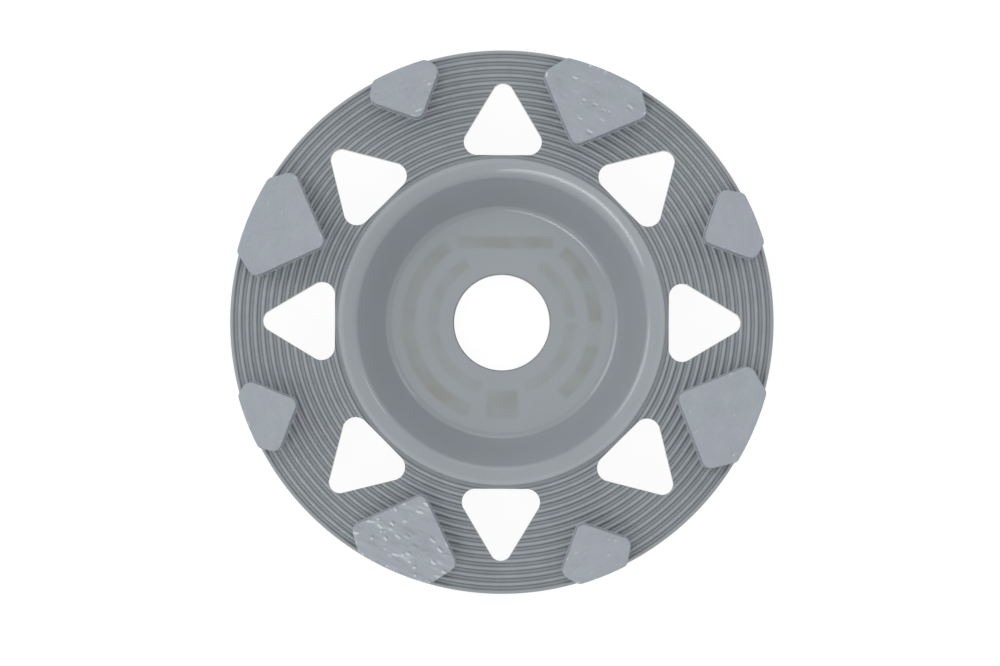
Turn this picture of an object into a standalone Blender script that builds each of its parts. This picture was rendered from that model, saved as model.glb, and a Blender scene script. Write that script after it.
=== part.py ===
"""Diamond cup wheel for an angle grinder: a turned steel cup with eight brazed diamond segments.

The wheel lies on the back face of its hub, with the segments facing up. The origin is the centre
of that back face, and +Z points out of the cup along the arbor bore.
"""

import math

import bmesh
import bpy
import numpy as np

for leftover in list(bpy.data.objects):
    bpy.data.objects.remove(leftover, do_unlink=True)

MM = 0.001

# The turned body
WHEEL_DIAMETER = 125 * MM
BORE_DIAMETER = 22.23 * MM
BORE_CHAMFER = 0.3 * MM
HUB_THICKNESS = 6.0 * MM
HUB_EDGE_ROUNDING = 1.0 * MM
RECESS_FLOOR_RADIUS = 26.8 * MM
RECESS_FLOOR_FILLET = 1.8 * MM
WALL_THICKNESS = 5.0 * MM
WALL_BACK_FILLET = 0.8 * MM
LIP_OUTER_RADIUS = 38.1 * MM
LIP_WIDTH = 3.9 * MM
LIP_RISE = 0.3 * MM
LIP_INNER_ROUNDING = 7.0 * MM
LIP_OUTER_ROUNDING = 0.4 * MM
FACE_HEIGHT = 15.5 * MM
FLANGE_THICKNESS = 4.5 * MM
RIM_CHAMFER = 0.5 * MM
RIM_LAND = 0.1 * MM
GROOVE_PITCH = 1.77 * MM
GROOVE_LAND = 0.35 * MM
GROOVE_FLANK = 0.5 * MM
GROOVE_DEPTH = 0.4 * MM

# The windows through the flange, rounded triangles that point at the rim
WINDOW_LIP_DISTANCE = 0.28 * MM
WINDOW_RIM_DISTANCE = 5.2 * MM
WINDOW_HALF_ANGLE = math.radians(31)
WINDOW_APEX_RADIUS = 2.4 * MM
WINDOW_BASE_RADIUS = 3.1 * MM

# The diamond segments, blunt arrowheads that point at the hub
SEGMENT_HEIGHT = 6.7 * MM
SEGMENT_EDGE_BREAK = 0.2 * MM
BRAZE_GAP = 0.3 * MM
SHOULDER_ANGLE = math.radians(37)
SHOULDER_ROUNDING = 1.8 * MM
SIDE_ROUNDING = 2.2 * MM
TIP_ROUNDING = 1.8 * MM
LARGE_TIP_DISTANCE = 5.2 * MM
LARGE_SIDE_DISTANCE = 6.35 * MM
LARGE_HALF_WIDTH = 13.1 * MM
SMALL_LENGTH = 13.1 * MM
SMALL_SIDE_DISTANCE = 4.2 * MM
SMALL_HALF_WIDTH = 9.1 * MM

# How each segment sits, as set by hand before brazing: how far it is off its even place round the
# axis, how far it is turned about its own middle, how far it is shifted outwards, and how far its
# outer end stays inside the rim
LARGE_SEATS = (
    (math.radians(0.45), math.radians(-0.1), -0.1 * MM, 0.45 * MM),
    (math.radians(-0.35), math.radians(1.9), 0.4 * MM, 0),
    (math.radians(-0.85), math.radians(3.4), -0.3 * MM, 0.4 * MM),
    (math.radians(-0.15), math.radians(-0.3), -0.15 * MM, 0),
)
SMALL_SEATS = (
    (0, math.radians(3.5), -0.1 * MM, 0),
    (math.radians(0.05), math.radians(3.2), 0.2 * MM, 0.2 * MM),
    (math.radians(-0.65), math.radians(2.1), 0.35 * MM, 0),
    (math.radians(-0.55), math.radians(4.3), -0.4 * MM, 0),
)

# Fineness of the facets
FACETS_ROUND = 72
OUTER_ARC_STEPS = 5
ARC_STEP = math.radians(22)
SHARP_ANGLE = math.radians(30)

# The share of a side that the arcs at its two ends may take between them
LONGEST_ARC_SHARE = 0.95

# Places that follow from the sizes above
WHEEL_RADIUS = WHEEL_DIAMETER / 2
BORE_RADIUS = BORE_DIAMETER / 2
LIP_INNER_RADIUS = LIP_OUTER_RADIUS - LIP_WIDTH
LIP_HEIGHT = FACE_HEIGHT + LIP_RISE
FLANGE_BACK = FACE_HEIGHT - FLANGE_THICKNESS
SEAT_HEIGHT = FACE_HEIGHT + BRAZE_GAP
PAIR_STEP = math.tau / len(LARGE_SEATS)
WINDOW_COUNT = 2 * len(LARGE_SEATS)


def rounded(corners):
    """The closed outline through corners (x, y, radius), each eased by an arc tangent to both sides.

    Where the arcs at the two ends of a side would run into each other, both shrink until a little
    of the side is left. A radius of 0 keeps the corner.
    """
    places = np.array([corner[:2] for corner in corners])
    radii = np.array([corner[2] for corner in corners])
    sides = np.roll(places, -1, axis=0) - places
    lengths = np.linalg.norm(sides, axis=1)
    ahead = sides / lengths[:, None]
    back = -np.roll(ahead, 1, axis=0)
    turns = np.arctan2(ahead[:, 1] * back[:, 0] - ahead[:, 0] * back[:, 1], -(ahead * back).sum(axis=1))
    reaches = radii * np.tan(np.abs(turns) / 2)
    room = LONGEST_ARC_SHARE * lengths / np.maximum(reaches + np.roll(reaches, -1), 1e-9)
    reaches *= np.minimum(1, np.minimum(room, np.roll(room, 1)))
    outline = []
    for here, from_here, to_here, turn, reach in zip(places, ahead, back, turns, reaches):
        if reach == 0:
            outline.append(here)
            continue
        inwards = (to_here + from_here) / np.linalg.norm(to_here + from_here)
        centre = here + inwards * reach / math.sin(abs(turn) / 2)
        spoke = here + to_here * reach - centre
        steps = max(1, math.ceil(abs(turn) / ARC_STEP))
        for angle in np.linspace(0, -turn, steps + 1):
            cosine, sine = math.cos(angle), math.sin(angle)
            turned = np.array([cosine * spoke[0] - sine * spoke[1], sine * spoke[0] + cosine * spoke[1]])
            outline.append(centre + turned)
    return np.array(outline)


def grooves(outermost, end):
    """Profile corners of the turned grooves, from the outermost one in to the lip's foot.

    Each groove has a flat floor between two steep flanks, and a narrow flat land is left between it
    and the next. The last one is cut short by the lip.
    """
    floor = FACE_HEIGHT - GROOVE_DEPTH
    corners = []
    for number in range(math.ceil((outermost - end) / GROOVE_PITCH)):
        outer = outermost - number * GROOVE_PITCH
        inner = outer - GROOVE_PITCH + GROOVE_LAND
        corners += [(outer, FACE_HEIGHT), (outer - GROOVE_FLANK, floor)]
        corners += [(inner + GROOVE_FLANK, floor), (inner, FACE_HEIGHT)]
    return [(radius, height, 0) for radius, height in corners if radius > end]


def body_profile():
    """Half section of the turned body in (radius, height), with the wall's two cones parallel."""
    cone_run = LIP_INNER_RADIUS - RECESS_FLOOR_RADIUS
    cone_rise = LIP_HEIGHT - HUB_THICKNESS
    wall_across = WALL_THICKNESS * math.hypot(cone_run, cone_rise) / cone_rise

    def outer_cone_radius(height):
        return RECESS_FLOOR_RADIUS + cone_run * (height - HUB_THICKNESS) / cone_rise + wall_across

    back = [
        (BORE_RADIUS, BORE_CHAMFER, 0),
        (BORE_RADIUS + BORE_CHAMFER, 0, 0),
        (outer_cone_radius(0), 0, HUB_EDGE_ROUNDING),
        (outer_cone_radius(FLANGE_BACK), FLANGE_BACK, WALL_BACK_FILLET),
        (WHEEL_RADIUS - RIM_CHAMFER, FLANGE_BACK, 0),
        (WHEEL_RADIUS, FLANGE_BACK + RIM_CHAMFER, 0),
        (WHEEL_RADIUS, FACE_HEIGHT - RIM_CHAMFER, 0),
        (WHEEL_RADIUS - RIM_CHAMFER, FACE_HEIGHT, 0),
    ]
    front = [
        (LIP_OUTER_RADIUS, FACE_HEIGHT - GROOVE_DEPTH, 0),
        (LIP_OUTER_RADIUS, LIP_HEIGHT, LIP_OUTER_ROUNDING),
        (LIP_INNER_RADIUS, LIP_HEIGHT, LIP_INNER_ROUNDING),
        (RECESS_FLOOR_RADIUS, HUB_THICKNESS, RECESS_FLOOR_FILLET),
        (BORE_RADIUS + BORE_CHAMFER, HUB_THICKNESS, 0),
        (BORE_RADIUS, HUB_THICKNESS - BORE_CHAMFER, 0),
    ]
    return rounded(back + grooves(WHEEL_RADIUS - RIM_CHAMFER - RIM_LAND, LIP_OUTER_RADIUS) + front)


def window_outline():
    """A triangle with its straight base by the lip and its apex by the rim, all corners rounded."""
    base = LIP_OUTER_RADIUS + WINDOW_LIP_DISTANCE
    apex = WHEEL_RADIUS - WINDOW_RIM_DISTANCE
    half_base = (apex - base) * math.tan(WINDOW_HALF_ANGLE)
    return rounded(
        [
            (base, half_base, WINDOW_BASE_RADIUS),
            (base, -half_base, WINDOW_BASE_RADIUS),
            (apex, 0, WINDOW_APEX_RADIUS),
        ]
    )


def segment_outline(tip, side, half_width, turn, outer):
    """An arrowhead's outline about its own pivot, halfway from its tip to the rim.

    Two flanks run from the tip to the widest points, two shoulders from there to the outer radius,
    and the last side is an arc of that radius. The turn swings the arrowhead about its pivot, and
    leaves the last side where it is.
    """
    pivot = np.array([(tip + WHEEL_RADIUS) / 2, 0])
    swing = np.array([[math.cos(turn), -math.sin(turn)], [math.sin(turn), math.cos(turn)]])
    tip_point = swing @ (np.array([tip, 0]) - pivot) + pivot
    widest = []
    ends = []
    for hand in (-1, 1):
        corner = swing @ (np.array([side, hand * half_width]) - pivot) + pivot
        along = swing @ np.array([math.cos(SHOULDER_ANGLE), -hand * math.sin(SHOULDER_ANGLE)])
        to_outer = math.sqrt((corner @ along) ** 2 - corner @ corner + outer**2) - corner @ along
        widest.append(corner)
        ends.append(corner + along * to_outer)
    from_angle, to_angle = (math.atan2(end[1], end[0]) for end in ends)
    outer_arc = [
        (outer * math.cos(angle), outer * math.sin(angle), 0)
        for angle in np.linspace(from_angle, to_angle, OUTER_ARC_STEPS + 1)[1:-1]
    ]
    corners = [
        (*tip_point, TIP_ROUNDING),
        (*widest[0], SIDE_ROUNDING),
        (*ends[0], SHOULDER_ROUNDING),
        *outer_arc,
        (*ends[1], SHOULDER_ROUNDING),
        (*widest[1], SIDE_ROUNDING),
    ]
    return rounded(corners) - pivot, pivot[0]


def finished_mesh(name, shape, material):
    """A mesh from the bmesh, its faces turned outwards and shaded smooth between sharp edges."""
    bmesh.ops.recalc_face_normals(shape, faces=shape.faces)
    mesh = bpy.data.meshes.new(name)
    shape.to_mesh(mesh)
    shape.free()
    mesh.materials.append(material)
    mesh.shade_smooth()
    mesh.set_sharp_from_angle(angle=SHARP_ANGLE)
    return mesh


def turned_ring(profile):
    """A full turn of the closed profile about the wheel's axis."""
    shape = bmesh.new()
    points = [shape.verts.new((radius, 0, height)) for radius, height in profile]
    sides = [shape.edges.new((points[i - 1], points[i])) for i in range(len(points))]
    bmesh.ops.spin(
        shape,
        geom=points + sides,
        cent=(0, 0, 0),
        axis=(0, 0, 1),
        angle=math.tau,
        steps=FACETS_ROUND,
        use_merge=True,
    )
    return shape


def add_prism(shape, outline, low, high):
    """Extrudes the outline from one height to another, as a closed prism in the shape."""
    base = shape.faces.new([shape.verts.new((x, y, low)) for x, y in outline])
    grown = bmesh.ops.extrude_face_region(shape, geom=[base], use_keep_orig=True)
    top = [part for part in grown["geom"] if isinstance(part, bmesh.types.BMVert)]
    bmesh.ops.translate(shape, verts=top, vec=(0, 0, high - low))
    return top


def turned_about_axis(outline, angle):
    cosine, sine = math.cos(angle), math.sin(angle)
    return outline @ np.array([[cosine, sine], [-sine, cosine]])


def finish(name, base_color, metallic, roughness):
    material = bpy.data.materials.new(name)
    material.use_nodes = True
    shader = material.node_tree.nodes["Principled BSDF"]
    shader.inputs["Base Color"].default_value = (*base_color, 1)
    shader.inputs["Metallic"].default_value = metallic
    shader.inputs["Roughness"].default_value = roughness
    return material


def place(name, mesh, location=(0, 0, 0), angle=0):
    item = bpy.data.objects.new(name, mesh)
    item.location = location
    item.rotation_euler = (0, 0, angle)
    bpy.context.scene.collection.objects.link(item)
    item.parent = wheel_axis
    return item


def build_body():
    """The turned cup, with the windows cut right through its flange."""
    lacquered_steel = finish("lacquered_steel", (0.33, 0.34, 0.36), 0.55, 0.45)
    body = place("wheel_body", finished_mesh("wheel_body", turned_ring(body_profile()), lacquered_steel))
    cutters = bmesh.new()
    for number in range(WINDOW_COUNT):
        outline = turned_about_axis(window_outline(), number * math.tau / WINDOW_COUNT)
        add_prism(cutters, outline, FLANGE_BACK - FLANGE_THICKNESS, FACE_HEIGHT + FLANGE_THICKNESS)
    windows = place("window_cutters", finished_mesh("window_cutters", cutters, lacquered_steel))
    windows.hide_render = True
    windows.display_type = "WIRE"
    cut = body.modifiers.new("windows", "BOOLEAN")
    cut.operation = "DIFFERENCE"
    cut.solver = "EXACT"
    cut.object = windows


def segment_mesh(name, outline, material):
    """A flat-bottomed block with its top edge broken, standing on its seat."""
    shape = bmesh.new()
    top = set(add_prism(shape, outline, 0, SEGMENT_HEIGHT))
    broken = shape.edges.layers.float.new("bevel_weight_edge")
    for edge in shape.edges:
        edge[broken] = float(top.issuperset(edge.verts))
    return finished_mesh(name, shape, material)


def build_segments(name, material, tip, side, half_width, first_angle, seats):
    """One ring of segments on the flange, each its own block over a film of braze."""
    for number, (off_place, turn, shift, setback) in enumerate(seats):
        outer = WHEEL_RADIUS - setback
        outline, pivot_radius = segment_outline(tip + shift, side + shift, half_width, turn, outer)
        angle = first_angle + number * PAIR_STEP + off_place
        spot = (pivot_radius * math.cos(angle), pivot_radius * math.sin(angle), SEAT_HEIGHT)
        label = f"{name}_{number + 1}"
        segment = place(label, segment_mesh(label, outline, material), spot, angle)
        edge_break = segment.modifiers.new("edge_break", "BEVEL")
        edge_break.limit_method = "WEIGHT"
        edge_break.offset_type = "OFFSET"
        edge_break.width = SEGMENT_EDGE_BREAK
        edge_break.segments = 2


wheel_axis = bpy.data.objects.new("wheel_axis", None)
bpy.context.scene.collection.objects.link(wheel_axis)

build_body()

diamond_bond = finish("diamond_bond", (0.36, 0.37, 0.38), 0.35, 0.6)
build_segments(
    "segment_large",
    diamond_bond,
    LIP_OUTER_RADIUS + LARGE_TIP_DISTANCE,
    WHEEL_RADIUS - LARGE_SIDE_DISTANCE,
    LARGE_HALF_WIDTH,
    PAIR_STEP * 3 / 4,
    LARGE_SEATS,
)
build_segments(
    "segment_small",
    diamond_bond,
    WHEEL_RADIUS - SMALL_LENGTH,
    WHEEL_RADIUS - SMALL_SIDE_DISTANCE,
    SMALL_HALF_WIDTH,
    PAIR_STEP / 4,
    SMALL_SEATS,
)
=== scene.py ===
import math

import bpy
import numpy as np
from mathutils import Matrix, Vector


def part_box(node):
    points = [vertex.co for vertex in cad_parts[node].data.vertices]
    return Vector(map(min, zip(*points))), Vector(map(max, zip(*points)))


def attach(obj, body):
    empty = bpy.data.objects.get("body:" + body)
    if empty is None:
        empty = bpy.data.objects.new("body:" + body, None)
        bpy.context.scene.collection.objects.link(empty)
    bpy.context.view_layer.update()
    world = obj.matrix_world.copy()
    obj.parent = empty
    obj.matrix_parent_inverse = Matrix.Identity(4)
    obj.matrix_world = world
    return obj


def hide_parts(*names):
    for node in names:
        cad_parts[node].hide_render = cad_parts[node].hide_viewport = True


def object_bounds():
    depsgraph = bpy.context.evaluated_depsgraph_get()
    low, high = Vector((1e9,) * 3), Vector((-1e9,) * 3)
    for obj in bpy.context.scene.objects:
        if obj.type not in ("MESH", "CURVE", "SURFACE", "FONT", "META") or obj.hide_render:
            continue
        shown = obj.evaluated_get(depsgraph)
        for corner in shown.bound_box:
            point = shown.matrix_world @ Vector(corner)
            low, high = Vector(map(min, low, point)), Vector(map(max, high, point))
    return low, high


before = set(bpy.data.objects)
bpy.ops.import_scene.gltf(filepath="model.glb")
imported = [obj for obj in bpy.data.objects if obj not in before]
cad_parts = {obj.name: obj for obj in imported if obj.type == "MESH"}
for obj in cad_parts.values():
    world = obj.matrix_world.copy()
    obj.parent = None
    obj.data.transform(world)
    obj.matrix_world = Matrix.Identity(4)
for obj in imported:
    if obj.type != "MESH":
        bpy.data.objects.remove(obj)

cad_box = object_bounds()

# Wheel body: one steel cup, turned all over. A hub plate with the arbor bore lies at the bottom of the
# recess, a broadly rounded lip leads from its sloped wall to the flange, and flat-floored grooves are
# turned into the flange's face. Eight windows are cut through it. It is lacquered silver-grey.
mm = 0.001
rim_radius, _, lip_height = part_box("wheel_body")[1]
bore_radius = 22.23 * mm / 2
bore_chamfer = 0.3 * mm
bore_rounding = 0.1 * mm
hub_thickness = 6.0 * mm
hub_edge_rounding = 1.0 * mm
floor_radius = 26.5 * mm
floor_fillet = 2.4 * mm
ledge_radius = 25.6 * mm
ledge_slope = math.tan(math.radians(16))
ledge_rounding = 0.5 * mm
wall_thickness = 5.0 * mm
wall_back_fillet = 0.8 * mm
lip_outer_radius = 37.7 * mm
lip_outer_rounding = 0.4 * mm
lip_crown_radius = 36.7 * mm
lip_middle_radius = 35.35 * mm
lip_inner_radius = 34.42 * mm
lip_tilts = (14, 22)
lip_roundings = (3.0 * mm, 15.0 * mm, 3.3 * mm)
face_height = lip_height - 0.3 * mm
flange_back = face_height - 4.5 * mm
rim_chamfer = 0.5 * mm
rim_rounding = 0.2 * mm
rim_land = 0.1 * mm
groove_limit = rim_radius - rim_chamfer - rim_land
groove_pitch = 1.77 * mm
groove_land = 0.35 * mm
groove_flank = 0.5 * mm
groove_depth = 0.4 * mm
lip_foot_gap = 0.3 * mm
flank_steps = 5
profile_step = math.radians(4)
facets_round = 336
window_count = 8
window_base = 38.38 * mm
window_apex = rim_radius - 5.2 * mm
window_half_angle = math.radians(31)
window_apex_rounding = 2.4 * mm
window_base_rounding = 3.1 * mm
window_back_break = 0.2 * mm
window_face_break = 0.25 * mm


def eased(corners, arc_step=math.radians(7)):
    """A closed outline through corners (x, y, radius): each corner gives way to the arc of its radius
    that touches both sides, walked in steps of about arc_step. Where the arcs at the two ends of a
    side would meet, both shrink until a twentieth of it is left. A radius of 0 keeps the corner."""
    places = np.array([corner[:2] for corner in corners])
    ahead = np.roll(places, -1, axis=0) - places
    length = np.linalg.norm(ahead, axis=1)
    ahead /= length[:, None]
    back = -np.roll(ahead, 1, axis=0)
    across = ahead[:, 1] * back[:, 0] - ahead[:, 0] * back[:, 1]
    turn = np.arctan2(across, -(ahead * back).sum(axis=1))
    reach = np.array([corner[2] for corner in corners]) * np.tan(np.abs(turn) / 2)
    room = 0.95 * length / np.maximum(reach + np.roll(reach, -1), 1e-9)
    reach *= np.minimum(1, np.minimum(room, np.roll(room, 1)))
    outline = []
    for here, b, a, angle, r in zip(places, back, ahead, turn, reach):
        if r == 0 or abs(angle) < 1e-6:
            outline.append([here])
            continue
        centre = here + (b + a) / np.linalg.norm(b + a) * r / math.sin(abs(angle) / 2)
        spoke = here + b * r - centre
        square = np.array([-spoke[1], spoke[0]])
        walk = np.linspace(0, -angle, 2 + int(abs(angle) / arc_step))[:, None]
        outline.append(centre + np.cos(walk) * spoke + np.sin(walk) * square)
    return np.concatenate(outline)


def groove_corners():
    """The turned grooves from the rim's land to the lip's foot. A groove's outer flank falls from the
    face to the floor, its inner flank rises again, and a flat land follows. A flank lies 3s^2 - 2s^3 of
    the depth below the face, with s its share of the way down."""
    down = np.linspace(0, 1, flank_steps)
    fall = groove_depth * down * down * (3 - 2 * down)
    inner_flank = groove_pitch - groove_land - groove_flank
    across = np.concatenate([down * groove_flank, inner_flank + down * groove_flank])
    below = np.concatenate([fall, fall[::-1]])
    number = np.arange(math.ceil((groove_limit - lip_outer_radius) / groove_pitch))[:, None]
    radius = (groove_limit - number * groove_pitch - across).ravel()
    height = (face_height - below + 0 * number).ravel()
    kept = radius > lip_outer_radius + lip_foot_gap
    return [(r, z, 0) for r, z in zip(radius[kept], height[kept])]


def body_profile():
    """Half section of the cup in (radius, height), anticlockwise from the bore's back edge. The outer
    cone runs parallel to the recess wall at the wall's thickness. The recess floor rises in a narrow
    ledge before its fillet, up to where the ledge's slope meets the wall's line. The lip falls from its
    crown at the first of its tilts, and past its middle at the second, down to that line."""
    run = lip_inner_radius - floor_radius
    rise = lip_height - hub_thickness
    ledge_run = rise * (floor_radius - ledge_radius) / (rise - run * ledge_slope)
    gentle, steep = (math.tan(math.radians(tilt)) for tilt in lip_tilts)
    drop = (lip_crown_radius - lip_middle_radius) * gentle
    onward = (lip_middle_radius - lip_inner_radius + drop * run / rise) / (1 - steep * run / rise)
    cone_foot = floor_radius + (wall_thickness * math.hypot(run, rise) - run * hub_thickness) / rise
    cone_top = cone_foot + run * flange_back / rise
    back = [
        (bore_radius, bore_chamfer, bore_rounding),
        (bore_radius + bore_chamfer, 0, bore_rounding),
        (cone_foot, 0, hub_edge_rounding),
        (cone_top, flange_back, wall_back_fillet),
        (rim_radius - rim_chamfer, flange_back, rim_rounding),
        (rim_radius, flange_back + rim_chamfer, rim_rounding),
        (rim_radius, face_height - rim_chamfer, rim_rounding),
        (rim_radius - rim_chamfer, face_height, 0),
    ]
    front = [
        (lip_outer_radius, face_height - groove_depth, 0),
        (lip_outer_radius, lip_height, lip_outer_rounding),
        (lip_crown_radius, lip_height, lip_roundings[0]),
        (lip_middle_radius, lip_height - drop, lip_roundings[1]),
        (lip_middle_radius - onward, lip_height - drop - steep * onward, lip_roundings[2]),
        (ledge_radius + ledge_run, hub_thickness + ledge_run * ledge_slope, floor_fillet),
        (ledge_radius, hub_thickness, ledge_rounding),
        (bore_radius + bore_chamfer, hub_thickness, bore_rounding),
        (bore_radius, hub_thickness - bore_chamfer, bore_rounding),
    ]
    return eased(back + groove_corners() + front, profile_step)


def grid_faces(rows, columns, rows_close):
    """Quads of a grid whose columns close on themselves, and whose rows do too if rows_close."""
    row_starts = np.arange(rows if rows_close else rows - 1)
    row, column = np.meshgrid(row_starts, np.arange(columns), indexing="ij")
    row_after, column_after = (row + 1) % rows, (column + 1) % columns
    around = [(row, column), (row, column_after), (row_after, column_after), (row_after, column)]
    return np.stack([r * columns + c for r, c in around], axis=-1).reshape(-1, 4)


def piece_of(name, points, faces):
    """An object at the origin, with its place in its mesh."""
    mesh = bpy.data.meshes.new(name)
    mesh.from_pydata(points.reshape(-1, 3).tolist(), [], faces)
    mesh.update()
    piece = bpy.data.objects.new(name, mesh)
    bpy.context.scene.collection.objects.link(piece)
    return piece


def smooth(piece, sharp_angle):
    """Shades the piece smooth, apart from edges that turn by more than sharp_angle in degrees."""
    piece.data.shade_smooth()
    piece.data.set_sharp_from_angle(angle=math.radians(sharp_angle))


def turned_body(name):
    """The profile carried round the axis: point (i, j) is (r_i cos t_j, r_i sin t_j, z_i)."""
    profile = body_profile()
    angles = np.arange(facets_round) * math.tau / facets_round
    radius, height = profile[:, :1], profile[:, 1:]
    rings = [radius * np.cos(angles), radius * np.sin(angles), height + 0 * angles]
    faces = grid_faces(len(profile), facets_round, rows_close=True)
    return piece_of(name, np.stack(rings, axis=-1), faces.tolist())


def outward(outline):
    """Unit normals of a closed anticlockwise outline: its central differences, turned clockwise."""
    along = np.roll(outline, -1, axis=0) - np.roll(outline, 1, axis=0)
    along /= np.linalg.norm(along, axis=1, keepdims=True)
    return np.stack([along[:, 1], -along[:, 0]], axis=1)


def turned_to(angle):
    """What takes rows (x, y) round the axis by the angle, as their right factor."""
    return np.array([[math.cos(angle), math.sin(angle)], [-math.sin(angle), math.cos(angle)]])


def window_tool(name, past_back=2.0 * mm, past_lip=1.0 * mm, lip_spread=0.7 * mm):
    """What is cut away: eight prisms on the rounded triangle. At height z each point of the outline
    moves out along its normal by spread(z), which is 0 from one break to the other and grows steadily
    beyond them. That breaks the windows' edges on both faces, by 45 degrees on the back."""
    half_base = (window_apex - window_base) * math.tan(window_half_angle)
    triangle = eased(
        [
            (window_base, half_base, window_base_rounding),
            (window_base, -half_base, window_base_rounding),
            (window_apex, 0, window_apex_rounding),
        ]
    )
    normals = outward(triangle)
    inside = [flange_back + window_back_break, face_height - window_face_break]
    heights = np.array([flange_back - past_back, *inside, lip_height + past_lip])
    spread = np.array([past_back + window_back_break, 0, 0, lip_spread])
    size = len(triangle)
    points = []
    faces = []
    for number in range(window_count):
        flat = triangle + spread[:, None, None] * normals
        flat = flat @ turned_to(number * math.tau / window_count)
        tall = np.broadcast_to(heights[:, None, None], flat.shape[:2] + (1,))
        start = number * size * len(heights)
        points.append(np.concatenate([flat, tall], axis=2).reshape(-1, 3))
        faces += (grid_faces(len(heights), size, rows_close=False) + start).tolist()
        faces.append((start + np.arange(size)[::-1]).tolist())
        faces.append((start + size * (len(heights) - 1) + np.arange(size)).tolist())
    return piece_of(name, np.concatenate(points), faces)


def cut_away(piece, tool):
    """Takes the tool's shape out of the piece for good."""
    cut = piece.modifiers.new("windows", "BOOLEAN")
    cut.solver = "EXACT"
    cut.object = tool
    whole = piece.evaluated_get(bpy.context.evaluated_depsgraph_get())
    piece.data = bpy.data.meshes.new_from_object(whole)
    piece.modifiers.clear()
    bpy.data.objects.remove(tool)


class Shade:
    """The output of a node in a material. Arithmetic on it adds Math nodes."""

    def __init__(self, tree, socket=None):
        self.tree = tree
        self.socket = socket

    def node(self, kind, settings=None, inputs=None, output=0):
        """Adds a node: first its settings, then each input as a value or a link."""
        made = self.tree.nodes.new(kind)
        for name, value in (settings or {}).items():
            setattr(made, name, value)
        for name, value in (inputs or {}).items():
            if isinstance(value, Shade):
                self.tree.links.new(value.socket, made.inputs[name])
            else:
                made.inputs[name].default_value = value
        return Shade(self.tree, made.outputs[output] if made.outputs else None)

    def math(self, operation, *others):
        """A Math node on this and the others, in that order."""
        return self.node("ShaderNodeMath", {"operation": operation}, dict(enumerate((self, *others))))

    def __add__(self, other):
        return self.math("ADD", other)

    def __sub__(self, other):
        return self.math("SUBTRACT", other)

    def __rsub__(self, other):
        return self.node("ShaderNodeMath", {"operation": "SUBTRACT"}, {0: other, 1: self})

    def __mul__(self, other):
        return self.math("MULTIPLY", other)

    __radd__ = __add__
    __rmul__ = __mul__

    def above(self, low, high):
        """0 below low, 1 above high, and a smooth step between them."""
        settings = {"interpolation_type": "SMOOTHSTEP"}
        return self.node("ShaderNodeMapRange", settings, {0: self, 1: low, 2: high, 3: 0.0, 4: 1.0})

    def within(self, low, high, soft):
        """1 from low to high and 0 elsewhere, with steps that reach soft to either side."""
        return self.above(low - soft, low + soft) * (1 - self.above(high - soft, high + soft))

    def blend(self, dull, bright):
        """The colour dull where this is 0 and bright where it is 1."""
        inputs = {0: self, 6: dull, 7: bright}
        return self.node("ShaderNodeMix", {"data_type": "RGBA"}, inputs, output=2)

    def tinted(self, colour):
        """The colour made lighter or darker by this, so that 1 leaves it as it is."""
        return self.node("ShaderNodeVectorMath", {"operation": "SCALE"}, {0: colour, 3: self})

    def noise(self, place, scale, detail=2.0):
        """Noise from 0 to 1, with about scale grains in a metre."""
        inputs = {"Vector": place, "Scale": scale, "Detail": detail}
        return self.node("ShaderNodeTexNoise", inputs=inputs)


def new_finish(name):
    """An empty material and the place on its piece."""
    material = bpy.data.materials.new(name)
    material.use_nodes = True
    material.node_tree.nodes.clear()
    start = Shade(material.node_tree)
    return material, start, start.node("ShaderNodeTexCoord", output="Object")


def etched_bars(start, place, x, y, z, radius):
    """Where the recess floor is marked: two rings of bars round the bore, open at the top and bottom,
    a straight row above the bore and a block below it. The bars are soft and of uneven strength."""
    bearing = y.math("ARCTAN2", x) * (180 / math.pi)
    outer_right = bearing.math("ABSOLUTE").within(-1, 50, 2) - bearing.within(-14, 1, 2) * 0.6
    outer_left = bearing.above(122, 126) + (1 - bearing.above(-112, -108))
    inner_right = bearing.within(4, 58, 2) + bearing.within(-70, 0, 2)
    inner_left = bearing.above(118, 122) + (1 - bearing.above(-110, -106))
    soft = 0.6 * mm
    outer = radius.within(20.2 * mm, 23.3 * mm, soft) * (outer_right + outer_left)
    inner = radius.within(14.7 * mm, 17.3 * mm, soft) * (inner_right + inner_left)
    row = x.within(-10.7 * mm, 11.9 * mm, soft) * y.within(17.2 * mm, 20.0 * mm, soft)
    block = x.within(-3.4 * mm, 3.9 * mm, soft) * y.within(-22.3 * mm, -15.8 * mm, soft)
    uneven = start.noise(place, 200.0, 0.0).above(0.2, 0.8) * 0.6 + 0.4
    on_floor = z.within(hub_thickness - 1.0 * mm, hub_thickness + 0.4 * mm, 0.1 * mm)
    return on_floor * uneven * (outer + inner * 0.6 + row * 0.9 + block * 0.8)


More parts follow.
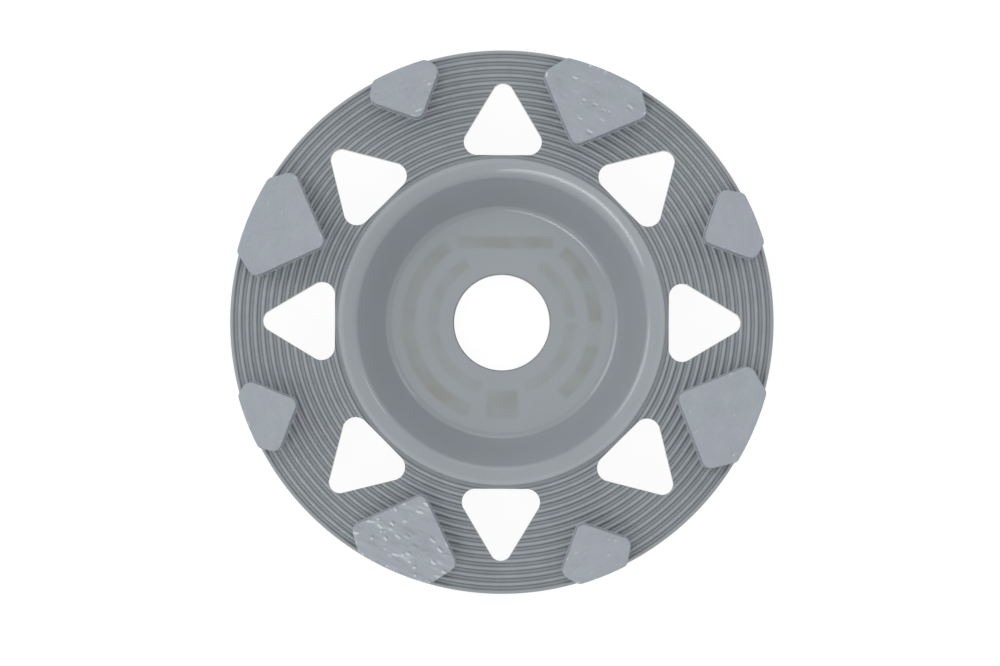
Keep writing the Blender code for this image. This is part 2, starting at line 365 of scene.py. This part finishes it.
def lacquered_steel(name):
    """Silver-grey lacquer over turned steel, with soft clouds, fine flake and faint turning lines. In
    the grooves it is blotchy and duller, and painted shade makes it darker there, most of all low on
    their flanks. On the recess floor painted shade makes it a little darker too, and it is etched."""
    green_grey = (0.292, 0.319, 0.332, 1)
    blue_grey = (0.298, 0.318, 0.343, 1)
    etched_grey = (0.190, 0.197, 0.180, 1)
    material, start, place = new_finish(name)
    x, y, z = (
        start.node("ShaderNodeSeparateXYZ", inputs={0: place}, output=axis) for axis in range(3)
    )
    radius = (x * x + y * y).math("SQRT")
    clouds = start.noise(place, 70.0, 3.0)
    patches = start.noise(place, 260.0, 2.0)
    flake = start.noise(place, 2600.0, 1.0)
    grain = start.noise(place, 1500.0, 2.0)
    turning = start.node(
        "ShaderNodeTexNoise",
        {"noise_dimensions": "1D"},
        {"W": radius * 5200.0, "Detail": 2.0, "Scale": 1.0},
    )
    depth = (face_height - z) * (1 / groove_depth)
    past_lip = radius.above(lip_outer_radius, lip_outer_radius + 0.2 * mm)
    past_grooves = radius.above(groove_limit, groove_limit + 0.2 * mm)
    grooved = past_lip * (1 - past_grooves) * (1 - depth.above(1.2, 1.4))
    # How far down a groove each point lies: the painted shade and the duller coat follow it.
    below = depth.above(0.1, 0.85) * (1 - depth.above(0.93, 0.995) * 0.5)
    over_floor = 1 - radius.above(floor_radius - 0.5 * mm, floor_radius + 0.9 * mm)
    painted_recess_shade = over_floor * z.above(hub_thickness - 1.0 * mm, hub_thickness - 0.5 * mm)
    tone = 0.86 + clouds * 0.10 + flake * 0.08 + turning * 0.05 + (patches - 0.5) * grooved * 0.24
    # Painted shade: darker over the grooved band, most of all low in the grooves, and on the recess
    # floor.
    tone = tone * (0.95 - grooved * 0.075 - grooved * below * 0.30) * (1 - painted_recess_shade * 0.105)
    tint = start.noise(place, 180.0, 1.0).above(0.35, 0.65).blend(green_grey, blue_grey)
    marks = etched_bars(start, place, x, y, z, radius)
    relief = grain * 0.6 + turning * 0.4
    bump = {"Strength": 0.2, "Distance": 0.05 * mm, "Height": relief}
    shader = start.node(
        "ShaderNodeBsdfPrincipled",
        inputs={
            "Base Color": (marks * 0.85).blend(tone.tinted(tint), etched_grey),
            "Metallic": 0.1,
            "Roughness": 0.38 + grain * 0.10,
            "Specular IOR Level": 0.3,
            "Coat Weight": 0.8 - grooved * below * 0.6,
            "Coat Roughness": 0.12,
            "Normal": start.node("ShaderNodeBump", inputs=bump),
        },
    )
    start.node("ShaderNodeOutputMaterial", inputs={"Surface": shader})
    return material


wheel_body = turned_body("cup_body")
cut_away(wheel_body, window_tool("window_tool"))
smooth(wheel_body, sharp_angle=33)
wheel_body.data.materials.clear()
wheel_body.data.materials.append(lacquered_steel("lacquered_steel"))
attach(wheel_body, "root")
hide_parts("wheel_body")

# Diamond segments: eight arrowheads pressed and sintered from metal powder with diamond grit in it,
# brazed onto the groove lands with their points towards the hub. Four are large and four small. The
# die has left short raised streaks on some faces, under the same lacquer, and braze rings the foot.
segment_top = cad_box[1][2]
segment_foot = face_height - groove_depth
segment_edge = 0.2 * mm
bead_reach = 0.15 * mm
bead_height = 0.4 * mm
shoulder_angle = math.radians(37)
shoulder_rounding = 1.8 * mm
side_rounding = 2.2 * mm
tip_rounding = 1.8 * mm
rim_arc_points = 6
quarter_rows = 7
side_rows = 24
streak_length = 1.3 * mm
streak_width = 0.65 * mm
streak_cell = np.array([1.4 * streak_length, 2 * streak_width])
streak_relief = 0.12 * mm
streak_lean = 0.6
streak_sway = 0.25
dip_place = 1.7
dip_depth = 0.7
ripple_stretch = 4
ripple_spacings = (0.55 * mm, 1.1 * mm)
grain_spacings = (0.45 * mm, 1.3 * mm)
grain_relief = 0.03 * mm
wear_spacing = 0.8 * mm
wear_relief = 0.08 * mm
scuff_spacing = 0.9 * mm
scuff_start = 0.93
scuff_fade = 0.04


def segment_outline(tip, side, half_width, turn, outer, count):
    """An arrowhead pointing along -X, sampled at count equal steps: flanks from the tip to the widest
    points, shoulders from there to the outer radius, and an arc of that radius between them. The turn
    swings it about its pivot, halfway from tip to rim. Also gives the pivot."""
    pivot = np.array([(tip + rim_radius) / 2, 0])
    swing = turned_to(turn).T
    tip_point = swing @ (np.array([tip, 0]) - pivot) + pivot
    widest = []
    ends = []
    for hand in (-1, 1):
        corner = swing @ (np.array([side, hand * half_width]) - pivot) + pivot
        along = swing @ np.array([math.cos(shoulder_angle), -hand * math.sin(shoulder_angle)])
        nearest = corner @ along
        to_outer = math.sqrt(nearest**2 - corner @ corner + outer**2) - nearest
        widest.append(corner)
        ends.append(corner + along * to_outer)
    first, last = (math.atan2(end[1], end[0]) for end in ends)
    between = np.linspace(first, last, rim_arc_points)[1:-1]
    outline = eased(
        [
            (*tip_point, tip_rounding),
            (*widest[0], side_rounding),
            (*ends[0], shoulder_rounding),
            *[(outer * math.cos(angle), outer * math.sin(angle), 0) for angle in between],
            (*ends[1], shoulder_rounding),
            (*widest[1], side_rounding),
        ]
    )
    closed = np.concatenate([outline, outline[:1]])
    lengths = np.linalg.norm(np.diff(closed, axis=0), axis=1)
    travelled = np.concatenate([[0], np.cumsum(lengths)])
    steps = np.linspace(0, travelled[-1], count, endpoint=False)
    sampled = [np.interp(steps, travelled, closed[:, axis]) for axis in (0, 1)]
    return np.stack(sampled, axis=1), pivot


def scattered(cells, seed, draw):
    """A repeatable random number from 0 to 1 for each cell of a lattice: its integer place, the seed
    and the draw, each times a large odd number, are added and then mixed twice, by folding the high
    bits onto the low ones and multiplying."""
    primes = np.array([73856093, 19349663, 83492791])[: cells.shape[-1]]
    mixed = (cells * primes).sum(axis=-1) + seed * 2654435761 + draw * 40503
    mixed = (mixed ^ (mixed >> 15)) * 2246822519 & 0xFFFFFFFF
    mixed = (mixed ^ (mixed >> 13)) * 3266489917 & 0xFFFFFFFF
    return (mixed ^ (mixed >> 16)) / 0xFFFFFFFF


def roughness(points, spacing, seed):
    """Smooth noise from 0 to 1: the lattice's random numbers blended by smoothstep weights."""
    scaled = points / spacing
    home = np.floor(scaled).astype(np.int64)
    part = scaled - home
    part = part * part * (3 - 2 * part)
    total = np.zeros(len(points))
    for shift in np.ndindex(2, 2, 2):
        weight = np.prod(np.where(np.array(shift), part, 1 - part), axis=1)
        total += weight * scattered(home + np.array(shift), seed, 9)
    return total


def boldness(share):
    """How strongly a segment's marks show: more where they are many."""
    return 0.4 + 2 * share


def streaks(across, along, share, seed):
    """Height of the die's marks, from -1 to 1. A cell of a lattice holds a wavy streak as often as the
    share says: (1 - v^2)(1 - u^2), minus a dip of the same shape beside it. There u and v are the
    distances from its middle along and across it, in half lengths and half widths, and a sine of u
    swings v. Its place, lean, length, height and wave are random. Low ripples, which are noise drawn
    out across the segment, run everywhere and grow with the share."""
    places = np.stack([along, across], axis=1)
    home = np.floor(places / streak_cell).astype(np.int64)
    height = np.zeros(len(places))
    for shift in np.ndindex(3, 3):
        cell = home + np.array(shift) - 1
        in_cell = np.stack([scattered(cell, seed, draw) for draw in (0, 1)], axis=1)
        offset = places - (cell + in_cell) * streak_cell
        lean = streak_lean * (scattered(cell, seed, 2) - 0.5)
        u = (offset[:, 0] * np.cos(lean) + offset[:, 1] * np.sin(lean)) / streak_length * 2
        v = (offset[:, 1] * np.cos(lean) - offset[:, 0] * np.sin(lean)) / streak_width * 2
        u /= 0.4 + 1.3 * scattered(cell, seed, 3)
        v += streak_sway * np.sin(2.5 * u + 6 * scattered(cell, seed, 6))
        strength = boldness(share) * (0.3 + 0.9 * scattered(cell, seed, 5) ** 2)
        present = (scattered(cell, seed, 4) < share) * strength
        ridge = np.clip(1 - v * v, 0, 1) - dip_depth * np.clip(1 - (v + dip_place) ** 2, 0, 1)
        height += present * ridge * np.clip(1.3 * (1 - u * u), 0, 1)
    drawn_out = np.stack([along / ripple_stretch, across, 0 * along], axis=1)
    fine, broad = (
        roughness(drawn_out, spacing, seed + offset)
        for spacing, offset in zip(ripple_spacings, (80, 90))
    )
    return np.clip(height + (fine + broad - 1) * (0.12 + 1.3 * share), -1, 1)


def segment_block(name, outline, pivot, angle, rows_in, share, seed):
    """The outline carried up the side, over the edge and in to the pivot: point (k, i) is
    pivot + s_k (outline_i + e_k normal_i - pivot) at height z_k. Over the braze bead e falls from its
    reach to 0 in a hollow quarter round, over the rounded edge it goes on to -segment_edge, and s is
    the share of the way out. No point goes further out than its outline's, or the flange's face. The
    grain, the streaks and the wear then push each point inwards, apart from the bead's. Its attribute
    streak holds the marks' height, and is 1 where the top's edge is scuffed; the bond paints it as
    highlight and shade, and the scuffs are part wear and part painted light on the rounded edge."""
    hollow = np.linspace(0, math.pi / 2, quarter_rows)
    over = hollow[1:]
    inwards = np.linspace(1, 0, rows_in + 1)[1:-1]
    top_rows = len(inwards)
    bead_rows = 1 + quarter_rows
    side_foot = face_height + bead_height
    side_top = segment_top - segment_edge
    height = np.concatenate(
        [
            [segment_foot],
            side_foot - bead_height * np.cos(hollow),
            np.linspace(side_foot, side_top, side_rows)[1:],
            side_top + segment_edge * np.sin(over),
            np.full(top_rows, segment_top),
        ]
    )
    flare = np.concatenate(
        [
            [bead_reach],
            bead_reach * (1 - np.sin(hollow)),
            np.zeros(side_rows - 1),
            -segment_edge * (1 - np.cos(over)),
            np.full(top_rows, -segment_edge),
        ]
    )[:, None, None]
    lean = np.concatenate([np.zeros(quarter_rows + side_rows), over, np.full(top_rows, math.pi / 2)])
    way_out = np.concatenate([np.ones(len(height) - top_rows), inwards])
    rows, columns = len(height), len(outline)
    normals = outward(outline)
    flat = pivot + way_out[:, None, None] * (outline + flare * normals - pivot)
    reach = np.linalg.norm(flat, axis=2, keepdims=True)
    furthest = np.maximum(np.linalg.norm(outline, axis=1)[:, None], rim_radius - rim_chamfer)
    flat = flat * np.minimum(1, furthest / reach)
    turn = turned_to(angle)
    tall = np.broadcast_to(height[:, None, None], (rows, columns, 1))
    points = np.concatenate([flat @ turn, tall], axis=2).reshape(-1, 3)
    level = np.cos(lean)[:, None, None] * (normals @ turn)
    upward = np.broadcast_to(np.sin(lean)[:, None, None], (rows, columns, 1))
    facing = np.concatenate([level, upward], axis=2).reshape(-1, 3)
    on_top = np.repeat(np.sin(lean) > 0.99, columns)
    on_edge = np.repeat(np.sin(2 * lean), columns)
    off_bead = np.repeat(np.arange(rows) >= bead_rows, columns)
    local = flat.reshape(-1, 2)
    streak = streaks(local[:, 0], local[:, 1], share, seed) * on_top
    fine, coarse = (
        roughness(points, spacing, seed + offset)
        for spacing, offset in zip(grain_spacings, (0, 20))
    )
    depth = streak_relief * (0.5 - 0.5 * streak) * min(1, 2 * share)
    depth += grain_relief * (1 - 0.5 * fine - 0.5 * coarse)
    depth += wear_relief * on_edge * roughness(points, wear_spacing, seed + 40)
    points = points - (depth * off_bead)[:, None] * facing
    pole = np.append(pivot @ turn, points[-columns:, 2].mean())
    base = np.append(pivot @ turn, segment_foot)
    here = np.arange(columns)
    after = (here + 1) % columns
    top_fan = np.stack([here, after, np.full(columns, columns)], axis=1) + (rows - 1) * columns
    foot_fan = np.stack([after, here, np.full(columns, rows * columns + 1)], axis=1)
    sides = grid_faces(rows, columns, rows_close=False)
    faces = sides.tolist() + top_fan.tolist() + foot_fan.tolist()
    piece = piece_of(name, np.concatenate([points, [pole, base]]), faces)
    # Pale scuffs near the top's edge: part wear, part painted light that lifts the rounded edge's
    # shade.
    near_edge = np.clip((way_out - scuff_start) / scuff_fade, 0, 1) * (np.sin(lean) > 0.5)
    scuffs_and_edge_light = np.clip(5 * (roughness(points, scuff_spacing, seed + 60) - 0.7), 0, 1)
    scuffs_and_edge_light = scuffs_and_edge_light * np.repeat(near_edge, columns) * boldness(share)
    # The attribute carries painted highlight on the streaks and scuffs, and painted shade in the dips.
    pale = np.append(np.where(streak < 0, streak, np.maximum(streak, scuffs_and_edge_light)), [0, 0])
    piece.data.attributes.new("streak", "FLOAT", "POINT").data.foreach_set("value", pale)
    return piece


def gritty_bond(name):
    """Matt lacquer over a sintered bond, in soft clouds and with fine pores. The raised streaks carry a
    painted highlight and the dips beside them painted shade. The scuffed edges are painted pale, part
    wear and part painted light on the rounded edge, and the sides a little paler than the top, painted
    light that lifts their shade."""
    green_grey = (0.310, 0.343, 0.370, 1)
    blue_grey = (0.321, 0.340, 0.380, 1)
    highlight_and_scuff_grey = (0.55, 0.60, 0.64, 1)
    material, start, place = new_finish(name)
    streak = start.node("ShaderNodeAttribute", {"attribute_name": "streak"}, output="Fac")
    z = start.node("ShaderNodeSeparateXYZ", inputs={0: place}, output=2)
    clouds = start.noise(place, 220.0, 2.0)
    pores = start.noise(place, 2200.0, 2.0)
    # The sides are painted paler: painted light that lifts the shade on them.
    side = 1 - z.above(segment_top - 0.5 * mm, segment_top - 0.2 * mm)
    # Painted shade in the dips beside the streaks.
    painted_dip_shade = (0 - streak).above(0.1, 0.7)
    tone = 0.86 + (clouds - 0.5) * 0.16 + pores * 0.16
    # Painted light and shade: brighter on the streaks, darker in their dips, paler down the sides.
    tone = tone * (1 + streak * 0.14 - painted_dip_shade * 0.12) * (1 + side * 0.2)
    tint = start.noise(place, 150.0, 1.0).above(0.35, 0.65).blend(green_grey, blue_grey)
    bump = {"Strength": 0.4, "Distance": 0.05 * mm, "Height": pores}
    shader = start.node(
        "ShaderNodeBsdfPrincipled",
        inputs={
            # Painted highlight: the streaks and scuffed edges blend towards a pale grey.
            "Base Color": (streak.above(0.2, 0.9) * 0.7).blend(tone.tinted(tint), highlight_and_scuff_grey),
            "Metallic": 0.15,
            "Roughness": 0.55,
            "Coat Weight": 0.2,
            "Coat Roughness": 0.3,
            "Normal": start.node("ShaderNodeBump", inputs=bump),
        },
    )
    start.node("ShaderNodeOutputMaterial", inputs={"Surface": shader})
    return material


# Each size's first place round the axis in degrees, the radii of its tip and of its widest points,
# half its width, the points in its outline and the rows on its top.
segment_sizes = {
    "large": (67.5, rim_radius - 19.2 * mm, rim_radius - 6.35 * mm, 13.1 * mm, 440, 80),
    "small": (22.5, rim_radius - 13.1 * mm, rim_radius - 4.2 * mm, 9.1 * mm, 320, 56),
}
# How each segment sits: degrees off its even place round the axis, degrees turned about its
# middle, shift outwards and distance of its outer end from the rim in mm, and its share of streaks.
segment_seats = {
    "large": (
        (0.45, -0.1, -0.1, 0.45, 0.2),
        (-0.35, 1.9, 0.4, 0, 0.05),
        (-0.85, 3.4, -0.3, 0.4, 0.42),
        (-0.15, -0.3, -0.15, 0, 0.04),
    ),
    "small": (
        (0, 3.5, -0.1, 0, 0.02),
        (0.05, 3.2, 0.2, 0.2, 0.13),
        (-0.65, 2.1, 0.35, 0, 0.08),
        (-0.55, 4.3, -0.4, 0, 0.12),
    ),
}
bond = gritty_bond("gritty_bond")
for size, (first_angle, tip, side, half_width, count, rows_in) in segment_sizes.items():
    for number, (off_place, turn, shift, setback, share) in enumerate(segment_seats[size]):
        angle = math.radians(first_angle + 90 * number + off_place)
        outer = rim_radius - setback * mm
        ends = (tip + shift * mm, side + shift * mm)
        shape = segment_outline(*ends, half_width, math.radians(turn), outer, count)
        seed = number + (10 if size == "small" else 0)
        segment = segment_block(f"grit_{size}_{number + 1}", *shape, angle, rows_in, share, seed)
        smooth(segment, sharp_angle=60)
        segment.data.materials.append(bond)
        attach(segment, "root")
        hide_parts(f"segment_{size}_{number + 1}")

# Floor and light: a white table under the wheel, seen as white with a faint shadow. A broad lamp hangs
# overhead, the key stands to the left, others behind and on the right, and a long narrow one in front
# to the left draws the bright lines on the lip. The pale surroundings fill the rest.
table_half_side = 3.0
fill_level = 0.735
corners = ((-1, -1), (1, -1), (1, 1), (-1, 1))
table = piece_of(
    "table",
    np.array([(x * table_half_side, y * table_half_side, 0) for x, y in corners]),
    [(0, 1, 2, 3)],
)


def seen_or_mirrored(start):
    """1 for rays from the camera and from glossy surfaces, 0 for those that light the wheel."""
    mirrored = start.node("ShaderNodeLightPath", output="Is Glossy Ray")
    return start.node("ShaderNodeLightPath", output="Is Camera Ray").math("MAXIMUM", mirrored)


white_table = bpy.data.materials.new("white_table")
white_table.use_nodes = True
white_table.node_tree.nodes.clear()
start = Shade(white_table.node_tree)
matt = start.node("ShaderNodeBsdfDiffuse", inputs={"Color": (0.8, 0.8, 0.8, 1)})
faint = start.node("ShaderNodeBsdfDiffuse", inputs={"Color": (0.12, 0.12, 0.12, 1)})
glow = start.node("ShaderNodeEmission", inputs={"Color": (0.92, 0.92, 0.92, 1), "Strength": 1.0})
shown = start.node("ShaderNodeAddShader", inputs={0: glow, 1: faint})
front = start.node("ShaderNodeMixShader", inputs={0: seen_or_mirrored(start), 1: matt, 2: shown})
under = start.node("ShaderNodeNewGeometry", output="Backfacing")
clear = start.node("ShaderNodeBsdfTransparent")
surface = start.node("ShaderNodeMixShader", inputs={0: under, 1: front, 2: clear})
start.node("ShaderNodeOutputMaterial", inputs={"Surface": surface})
table.data.materials.append(white_table)

world = bpy.data.worlds.new("pale_surroundings")
bpy.context.scene.world = world
world.use_nodes = True
world.node_tree.nodes.clear()
start = Shade(world.node_tree)
fill = start.node(
    "ShaderNodeBackground", inputs={"Color": (0.96, 0.98, 1.0, 1), "Strength": fill_level}
)
pale = start.node("ShaderNodeBackground", inputs={"Color": (1, 1, 1, 1), "Strength": 1.0})
sky = start.node("ShaderNodeMixShader", inputs={0: seen_or_mirrored(start), 1: fill, 2: pale})
start.node("ShaderNodeOutputWorld", inputs={"Surface": sky})


def soft_lamp(name, azimuth, from_vertical, distance, width, height, share):
    """An oval lamp aimed at the wheel. Its share is what it adds to the light on a level surface, where
    a plain white world adds 1: the power is pi^2 distance^2 share / cos(from_vertical)."""
    lamp = bpy.data.lights.new(name, "AREA")
    lamp.shape = "ELLIPSE"
    lamp.size = width
    lamp.size_y = height
    lean, turn = math.radians(from_vertical), math.radians(azimuth)
    lamp.energy = math.pi**2 * distance**2 * share / math.cos(lean)
    level = math.sin(lean)
    spot = Vector((level * math.cos(turn), level * math.sin(turn), math.cos(lean)))
    holder = bpy.data.objects.new(name, lamp)
    holder.location = spot * distance
    holder.rotation_euler = (-spot).to_track_quat("-Z", "Y").to_euler()
    bpy.context.scene.collection.objects.link(holder)


soft_lamp("overhead", azimuth=90, from_vertical=0, distance=1.3, width=0.9, height=0.9, share=0.07)
soft_lamp("key", azimuth=160, from_vertical=58, distance=1.2, width=0.8, height=0.5, share=0.10)
soft_lamp("behind", azimuth=85, from_vertical=60, distance=1.2, width=0.8, height=0.5, share=0.025)
soft_lamp("right", azimuth=32, from_vertical=52, distance=1.05, width=0.3, height=0.12, share=0.025)
soft_lamp("strip", azimuth=236, from_vertical=30, distance=1.05, width=0.75, height=0.09, share=0.1)

# Camera: looks down on the segments from 0.8 m, a little from the front, with a window at the top.
photo_width, photo_height = 1000, 666
wheel_pixel = (501.55, 321.83)
pixels_per_metre = 4352.0
camera_distance = 0.8
camera_forward = 0.0137
camera_roll = math.radians(0.3)
view_width = photo_width / pixels_per_metre
to_left = (photo_width / 2 - wheel_pixel[0]) / pixels_per_metre
upwards = (photo_height / 2 - wheel_pixel[1]) / pixels_per_metre
pitch = math.atan(camera_forward / camera_distance) - math.atan(upwards / camera_distance)
camera = bpy.data.cameras.new("camera")
camera.sensor_width = 36.0
camera.lens = camera.sensor_width * camera_distance / view_width
holder = bpy.data.objects.new("camera", camera)
holder.location = (to_left, -camera_forward, face_height + camera_distance)
holder.rotation_euler = (pitch, 0, camera_roll)
bpy.context.scene.collection.objects.link(holder)
bpy.context.scene.camera = holder
bpy.context.scene.view_settings.view_transform = "Standard"
